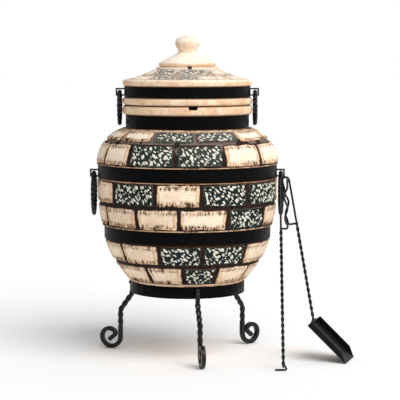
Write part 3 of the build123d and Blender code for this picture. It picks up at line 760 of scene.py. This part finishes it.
def lid():
    """The tiled lid, painted paler on top as a painted highlight, with a small notch in its collar."""
    theta = full_turn(LID_COLUMNS)
    arc = arc_lengths(lid_line)
    relief, colour, masks = bare_clay(lid_line, LID_COLUMNS, 500)
    picked = lid_zone == "tiles"
    rows = row_arcs(LID_ROWS, lid_line[picked, 0][::-1], arc[picked][::-1])
    bare = colour.copy()
    lay_tiles(theta, arc, lid_line[:, 0], rows, relief, colour, masks, LID_WASHED, np.random.default_rng(3))
    relief[picked] *= 0.55
    # Painted highlight: the upward-facing lid tiles are painted paler, towards chalk white, less on the
    # glossy hammered ones
    worn = np.where(masks[picked][..., 0] > 0.2, 0.22, 0.50)
    colour[picked] = blend_colour(colour[picked], np.maximum(bare[picked], CHALK_AND_HIGHLIGHT * 0.95), worn)
    # Painted highlight: the lid's upper clay outside the tiles is painted chalk white
    top = (lid_line[:, 1] > 762) & ~picked
    colour[top] = blend_colour(colour[top], CHALK_AND_HIGHLIGHT, np.full(relief[top].shape, 0.45))
    dull_zones(lid_zone, relief, colour, 0.8)
    xyz, quads = turned(lid_line, LID_COLUMNS, relief, closed=True)
    aside, outward = turned_about(xyz, COLLAR_NOTCH_ANGLE)
    floor = lid_line[:, 1].max() - COLLAR_NOTCH_DEPTH * ease((COLLAR_NOTCH_WIDTH / 2 - np.abs(aside)) / 2)
    cut = (outward > 70) & (xyz[..., 2] > floor) & (np.abs(aside) < COLLAR_NOTCH_WIDTH / 2)
    xyz[..., 2] = np.where(cut, floor, xyz[..., 2])
    # Painted shade: the collar notch is painted grout-dark
    colour[cut] = GROUT
    return add_mesh("lid_clay", xyz.reshape(-1, 3), quads, "lid", LID_CLAY, ["lid_shell"],
                    colour.reshape(-1, 3), masks.reshape(-1, 4), 60)


def bare_piece(name, line, columns, body, node, seed, turn=False):
    """A plain turned clay piece, about Z or, with turn, about the +Y line through the air port."""
    relief, colour, masks = bare_clay(line, columns, seed, 0.5)
    # Painted highlight: chalk white on the cap's upward-facing dome and tip, less round its neck
    if name == "cap_clay":
        level = line[:, 1:] + 6 * relief
        neck = ease((level - 834) / 6) * ease((872 - level) / 8)
        colour = blend_colour(colour, CHALK_AND_HIGHLIGHT, 0.75 * ease((level - 806) / 8) * (1 - 0.6 * neck))
    xyz, quads = turned(line, columns, np.minimum(relief, 0.0), closed=False)
    xyz = xyz.reshape(-1, 3)
    if turn:
        xyz = np.stack([xyz[:, 0], xyz[:, 2], PORT_HEIGHT - xyz[:, 1]], -1)
    return add_mesh(name, xyz, quads, body, CLAY, [node],
                    colour.reshape(-1, 3), masks.reshape(-1, 4), 50)


cap_line, _ = profile(
    (1.0, 782), ("cap", 8, (42.5, 782)), ("cap", 4, (42.5, 800.8)), ("cap", 5, (75, 800.8)),
    ("cap", 1.2, (79, 807.3), (75, 813.8)), ("cap", 2, (50, 827), (27, 838)),
    ("cap", 1.5, (24.5, 844), (27.5, 851)), ("cap", 1.5, (33, 868), (20, 883)), ("cap", 1.5, (8, 886.6)),
    ("cap", 2, (1.0, 886.9)))
plug_line, _ = profile(
    (1.0, 130.4), ("plug", 4, (17.6, 130.4)), ("plug", 4, (19.6, 174.4)), ("plug", 3, (28.2, 174.4)),
    ("plug", 2, (26.2, 184.4)), ("plug", 3, (9, 184.4)), ("plug", 1.5, (12, 196.4), (6, 204.4)),
    ("plug", 2, (1.0, 204.4)))

vessel()
lid()
bare_piece("cap_clay", cap_line, 240, "cap", "lid_cap", 600)
bare_piece("plug_clay", plug_line, 160, "air_plug", "air_plug", 700, turn=True)


# ------------------------------ hoops
BAND_THICKNESS, LUG_REACH, LUG_CENTRE = 3.0, 24.0, 7.5


def hoop(name, body, seat):
    """A strap round the clay that ends in two lugs at the back, as tall as its CAD node."""
    low, high = (corner.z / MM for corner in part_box(name))
    middle = seat + BAND_THICKNESS / 2
    start = math.asin((LUG_CENTRE + 3) / middle)
    turns = np.linspace(start, 2 * math.pi - start, 360)
    circle = np.stack([middle * np.sin(turns), middle * np.cos(turns)], -1)
    tip = seat + LUG_REACH - 0.2
    lug = [(LUG_CENTRE, tip), (LUG_CENTRE, tip - 8), (LUG_CENTRE, middle + 4), (LUG_CENTRE, middle + 1.2)]
    path = np.concatenate([smoothed(lug + [tuple(circle[0])], 3), circle[1:-1],
                           smoothed([tuple(circle[-1])] + [(-x, y) for x, y in lug[::-1]], 3)])
    path = np.concatenate([path, np.full((len(path), 1), (low + high) / 2)], 1)
    section = outline((BAND_THICKNESS - 0.2) / 2, (high - low) / 2, 28, 14)
    sections = np.repeat(section[None], len(path), 0)
    xyz, quads = swept(path, (0, 0, 1), sections)
    return add_mesh(name + "_strap", xyz, quads, body, HOOP, [name], sharp=35)


for hoop_name, hoop_body, hoop_seat in (("lower_band", "oven", LOWER_SEAT[0]),
                                        ("belly_band", "oven", BELLY_SEAT[0]),
                                        ("neck_band", "oven", NECK_SEAT[0]), ("lid_band", "lid", 172.0)):
    hoop(hoop_name, hoop_body, hoop_seat)


# ------------------------------ legs
LEG_ANGLES = {"leg_front": 10.0, "leg_rear_left": -109.0, "leg_rear_right": 129.0}
LEG_BAR = 12.0
QUARTER_TWIST = 18.0
TWIST_SPAN = (62.0, 168.0)


def leg_path():
    """Centre line of a leg as (radius, height) from its top to the end of its scroll."""
    points, _ = profile(
        (165, 205), ("bar", 3, (165, 172.4)), ("bar", 2, (166.0, 166.0), (168.9, 157.6)),
        ("bar", 3, (196.4, 119.7)), ("bar", 2, (200.9, 111.8), (202, 102)), ("bar", 3, (202, 34)),
        ("bar", 2.5, (230, 6), (258, 34)), ("bar", 2.5, (243.5, 54.7), (219.15, 48.14)),
        ("bar", 1.6, (217.6, 42.4), (220.01, 38.28)), ("bar", 2.5, (236.86, 24.14)))
    return resample(points, 2.0)


def leg(name, angle):
    """A square bar, twisted between the knee and the scroll."""
    flat, length = leg_path()
    outward = np.array([math.sin(math.radians(angle)), -math.cos(math.radians(angle)), 0.0])
    points = flat[:, :1] * outward + flat[:, 1:] * np.array([0, 0, 1.0])
    on_twist = (flat[:, 1] < TWIST_SPAN[1]) & (flat[:, 1] > TWIST_SPAN[0]) & (np.abs(flat[:, 0] - 184) < 20)
    turn = np.cumsum(on_twist * np.gradient(length)) * (math.pi / 2) / QUARTER_TWIST
    turn = turn * np.round(turn[-1] / (math.pi / 2)) * (math.pi / 2) / turn[-1]
    side = np.cross(outward, (0, 0, 1.0))
    section = outline(LEG_BAR / 2, LEG_BAR / 2, 32, 9)
    xyz, quads = swept(points, side, twisted(section, turn))
    return add_mesh(name + "_twisted", xyz, quads, "oven", IRON, [name], sharp=50)


for leg_name, leg_angle in LEG_ANGLES.items():
    leg(leg_name, leg_angle)


# ------------------------------ drop rings
RING_STEPS = 220


def drop_ring(name, quarter_turns):
    """A ring of twisted square bar in the place of its CAD node."""
    low, high = (np.array(corner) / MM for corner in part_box(name))
    bar = (high[0] - low[0]) / 2
    centre, radius = (low + high) / 2, (high[2] - low[2]) / 2 - bar
    turns = full_turn(RING_STEPS)
    points = np.stack([np.full(RING_STEPS, centre[0]), centre[1] + radius * np.sin(turns),
                       centre[2] + radius * np.cos(turns)], -1)
    section = outline(bar * 0.80, bar * 0.80, 28, 5.0)
    xyz, quads = swept(points, (1, 0, 0), twisted(section, turns * quarter_turns / 4), closed=True)
    return add_mesh(name + "_twisted", xyz, quads, name, IRON, [name], sharp=70)


for ring_name, ring_turns in (("body_ring_left", 26), ("body_ring_right", 26),
                              ("lid_ring_left", 20), ("lid_ring_right", 20)):
    drop_ring(ring_name, ring_turns)


# ------------------------------ poker and scoop
WIRE = 2.6
STRAND_PITCH = 34.0
WAVE_PITCH = 62.0
POKER_FOOT, POKER_TOP = np.array([256.0, -262.0, 2.6]), np.array([254.0, -74.0, 501.0])
POKER_SHOULDER, POKER_TOE = 386.0, 22.0
SCOOP_TOP, SCOOP_SHOULDER = np.array([278.0, -66.0, 501.0]), 272.0
BLADE_CORNER = np.array([428.5, -168.0, 0.0])
BLADE_EDGE = np.array([0.30, 0.954, 0.0]) / np.linalg.norm([0.30, 0.954, 0.0])
BLADE_RISE = np.array([-0.696, 0.219, 0.684]) / np.linalg.norm([-0.696, 0.219, 0.684])
BLADE_WIDTH, BLADE_LENGTH, BLADE_WALL = 106.0, 145.0, 15.0
TANG = (32.0, 12.0, 3.0)
WAVE_HEIGHT = 4.2


def tube(points, radius, sides=14, step=2.0):
    """A round wire along any path."""
    points = resample(points, step)[0]
    tangent = headings(points, False)
    normal = np.cross(tangent[0], (0.37, 0.61, 0.70))
    ring = full_turn(sides)
    rows = []
    for point, along_path in zip(points, tangent):
        normal = normal - along_path * (normal @ along_path)
        normal /= np.linalg.norm(normal)
        other = np.cross(along_path, normal)
        rows.append(point + radius * (np.cos(ring)[:, None] * normal + np.sin(ring)[:, None] * other))
    return np.concatenate(rows), grid_faces(len(rows), sides, False)


def tool_axes(foot, top):
    """Directions up a tool, to its side and out of its plane."""
    up = (top - foot) / np.linalg.norm(top - foot)
    normal = np.cross((1.0, 0, 0), up)
    normal /= np.linalg.norm(normal)
    return up, np.cross(up, normal), normal


def strands(foot, axes, low, high):
    """Two wires twisted round each other."""
    up, aside, normal = axes
    at = np.arange(low, high, 1.5)
    turn = at * 2 * math.pi / STRAND_PITCH
    parts = []
    for phase in (0, math.pi):
        offset = np.cos(turn + phase)[:, None] * aside + np.sin(turn + phase)[:, None] * normal
        points = foot + at[:, None] * up + (WIRE - 0.3) * offset
        parts.append(tube(points, WIRE - 0.2, 12, 1.8))
    return parts


def handle_loop(foot, axes, corners, waves):
    """The long loop at the top, in the tool's own plane, with a wavy inner strand. waves holds where
    the waves start and end along the wire, and their height."""
    up, aside = axes[:2]
    path, length = resample(smoothed(corners), 2.0)
    inner = ease((length - waves[0]) / 30) * ease((waves[1] - length) / 30)
    path[:, 0] += inner * waves[2] * np.sin((length - waves[0]) * 2 * math.pi / WAVE_PITCH)
    return tube(foot + path[:, :1] * aside + path[:, 1:] * up, WIRE + 0.3, 14, 2.0)


def poker():
    """Two twisted wires with a loop on top and a hooked foot."""
    axes = tool_axes(POKER_FOOT, POKER_TOP)
    top = np.linalg.norm(POKER_TOP - POKER_FOOT)
    corners = [(0, POKER_SHOULDER - 6), (0, POKER_SHOULDER + 20), (0, top - 12), (1, top - 3), (6, top),
               (15, top), (20, top - 3), (20, top - 14), (13, top - 50), (17, POKER_SHOULDER + 10),
               (17, POKER_SHOULDER + 2), (14, POKER_SHOULDER), (3, POKER_SHOULDER)]
    rise = top - POKER_SHOULDER
    loop = handle_loop(POKER_FOOT, axes, corners, (rise + 30, 2 * rise + 30, WAVE_HEIGHT))
    toe = smoothed([POKER_FOOT + (-POKER_TOE, 0, 0), POKER_FOOT + (-4, 0, 0.1), POKER_FOOT + (7, 0, 0.4),
                    POKER_FOOT + (8.5, 0.8, 3), POKER_FOOT + (3, 2, 12)], 3)
    shaft = strands(POKER_FOOT, axes, 6, POKER_SHOULDER + 2)
    xyz, quads = joined(loop, tube(toe, WIRE, 14, 1.5), *shaft)
    return add_mesh("poker_wire", xyz, quads, "poker", IRON, ["poker"], sharp=50)


def slab(centre, axes, sizes, power=12, count=32):
    """A flat plate with rounded edges. axes are its width, height and thickness directions."""
    a, b, c = axes
    section = outline(sizes[0] / 2, sizes[1] / 2, count, power)
    levels = ((-0.5, 0.94), (-0.42, 1.0), (0.42, 1.0), (0.5, 0.94))
    rows = np.array([[centre + s[0] * k * a + s[1] * k * b + t * sizes[2] * c for s in section]
                     for t, k in levels])
    return rows.reshape(-1, 3), grid_faces(len(levels), count, False)


def scoop():
    """The scoop's handle: two twisted wires, a loop, and the plate that is riveted to the blade."""
    lift = np.cross(BLADE_EDGE, BLADE_RISE)
    back = (BLADE_CORNER + BLADE_EDGE * BLADE_WIDTH / 2 + BLADE_RISE * BLADE_LENGTH + lift * BLADE_WALL / 2)
    joint = back + BLADE_RISE * TANG[2] / 2
    axes = tool_axes(joint, SCOOP_TOP)
    top = np.linalg.norm(SCOOP_TOP - joint)
    corners = [(0, SCOOP_SHOULDER - 6), (0, SCOOP_SHOULDER + 20), (0, top - 14), (-1, top - 4), (-6, top),
               (-13, top), (-19, top - 4), (-19, top - 16), (-13, top - 55), (-24, SCOOP_SHOULDER + 18),
               (-24, SCOOP_SHOULDER + 3), (-20, SCOOP_SHOULDER), (-3, SCOOP_SHOULDER)]
    rise = top - SCOOP_SHOULDER
    loop = handle_loop(joint, axes, corners, (rise + 40, 2 * rise + 20, -WAVE_HEIGHT))
    plate = slab(joint, (BLADE_EDGE, lift, BLADE_RISE), TANG)
    xyz, quads = joined(loop, plate, *strands(joint, axes, 1, SCOOP_SHOULDER + 2))
    return add_mesh("scoop_wire", xyz, quads, "scoop", IRON, ["scoop_handle"], sharp=50)


poker()
scoop()


# ------------------------------ CAD nodes that stay
CARRIED = {"stand_ring": HOOP, "leg_rivets": BOLT, "body_band_bolts": BOLT, "lid_band_bolt": BOLT,
           "scoop_rivets": BOLT, "scoop_blade": SHEET, "fire_grate": GRATE}
# Width and least angle of a bevel. The blade's is finer, as a wider one leaves a spike on it
BEVEL, BLADE_BEVEL = (0.0005, 35), (0.0003, 60)
for side_name in ("left", "right"):
    CARRIED["body_bracket_" + side_name] = IRON
    CARRIED["lid_bracket_" + side_name] = IRON
for node_name, finish in CARRIED.items():
    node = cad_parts[node_name]
    node.data.materials.clear()
    node.data.materials.append(finish)
    weld = node.modifiers.new("weld", "WELD")
    weld.merge_threshold = 0.00001
    bevel = node.modifiers.new("bevel", "BEVEL")
    width, least_angle = BLADE_BEVEL if node_name == "scoop_blade" else BEVEL
    bevel.width = width
    bevel.segments = 2
    bevel.limit_method = "ANGLE"
    bevel.angle_limit = math.radians(least_angle)
    bevel.harden_normals = True

# ------------------------------ floor, light and camera
FLOOR_HALF = 40.0
FLOOR_DROP = 0.0005
floor_mesh = bpy.data.meshes.new("floor")
floor_mesh.from_pydata([(x * FLOOR_HALF, y * FLOOR_HALF, -FLOOR_DROP)
                        for x, y in ((-1, -1), (1, -1), (1, 1), (-1, 1))], [], [(0, 1, 2, 3)])
floor = bpy.data.objects.new("floor", floor_mesh)
bpy.context.scene.collection.objects.link(floor)
pale, _, _, pale_shader = new_material("pale_floor")
pale_shader.inputs["Base Color"].default_value = (0.95, 0.95, 0.95, 1)
pale_shader.inputs["Roughness"].default_value = 0.9
pale_shader.inputs["Specular IOR Level"].default_value = 0.0
floor_mesh.materials.append(pale)

SKY_DARK, SKY_BRIGHT = 0.18, 0.86
BACKGROUND_STRENGTH = 1.0
world = bpy.data.worlds.new("studio")
bpy.context.scene.world = world
world.use_nodes = True
world_nodes, world_links = world.node_tree.nodes, world.node_tree.links
dome = world_nodes["Background"]
dome.inputs["Color"].default_value = (1, 1, 1, 1)
sky_coords = world_nodes.new("ShaderNodeTexCoord")
sky_split = world_nodes.new("ShaderNodeSeparateXYZ")
world_links.new(sky_coords.outputs["Generated"], sky_split.inputs["Vector"])
sky_level = world_nodes.new("ShaderNodeMapRange")
world_links.new(sky_split.outputs["X"], sky_level.inputs["Value"])
for socket, level in (("From Min", -1.0), ("From Max", 1.0), ("To Min", SKY_DARK), ("To Max", SKY_BRIGHT)):
    sky_level.inputs[socket].default_value = level
world_links.new(sky_level.outputs["Result"], dome.inputs["Strength"])
seen = world_nodes.new("ShaderNodeBackground")
seen.inputs["Color"].default_value = (1, 1, 1, 1)
seen.inputs["Strength"].default_value = BACKGROUND_STRENGTH
rays = world_nodes.new("ShaderNodeLightPath")
choose = world_nodes.new("ShaderNodeMixShader")
world_links.new(rays.outputs["Is Camera Ray"], choose.inputs["Fac"])
world_links.new(dome.outputs["Background"], choose.inputs[1])
world_links.new(seen.outputs["Background"], choose.inputs[2])
world_links.new(choose.outputs["Shader"], world_nodes["World Output"].inputs["Surface"])


def sun(name, towards, strength, spread):
    """A soft sun that shines in the direction towards."""
    data = bpy.data.lights.new(name, "SUN")
    data.energy = strength
    data.angle = math.radians(spread)
    lamp = bpy.data.objects.new(name, data)
    bpy.context.scene.collection.objects.link(lamp)
    lamp.rotation_mode = "QUATERNION"
    lamp.rotation_quaternion = Vector(towards).to_track_quat("-Z", "Y")


sun("key", (-0.52, 0.72, -0.95), 2.35, 48)

CAMERA_AT = Vector((0.035, -4.48, 0.845))
CAMERA_AIM = Vector((0.035, 0.0, 0.4305))
camera = bpy.data.objects.new("camera", bpy.data.cameras.new("camera"))
bpy.context.scene.collection.objects.link(camera)
camera.data.lens = 145.3
camera.location = CAMERA_AT
camera.rotation_mode = "QUATERNION"
camera.rotation_quaternion = (CAMERA_AIM - CAMERA_AT).to_track_quat("-Z", "Y")
bpy.context.scene.camera = camera
bpy.context.scene.view_settings.view_transform = "Standard"
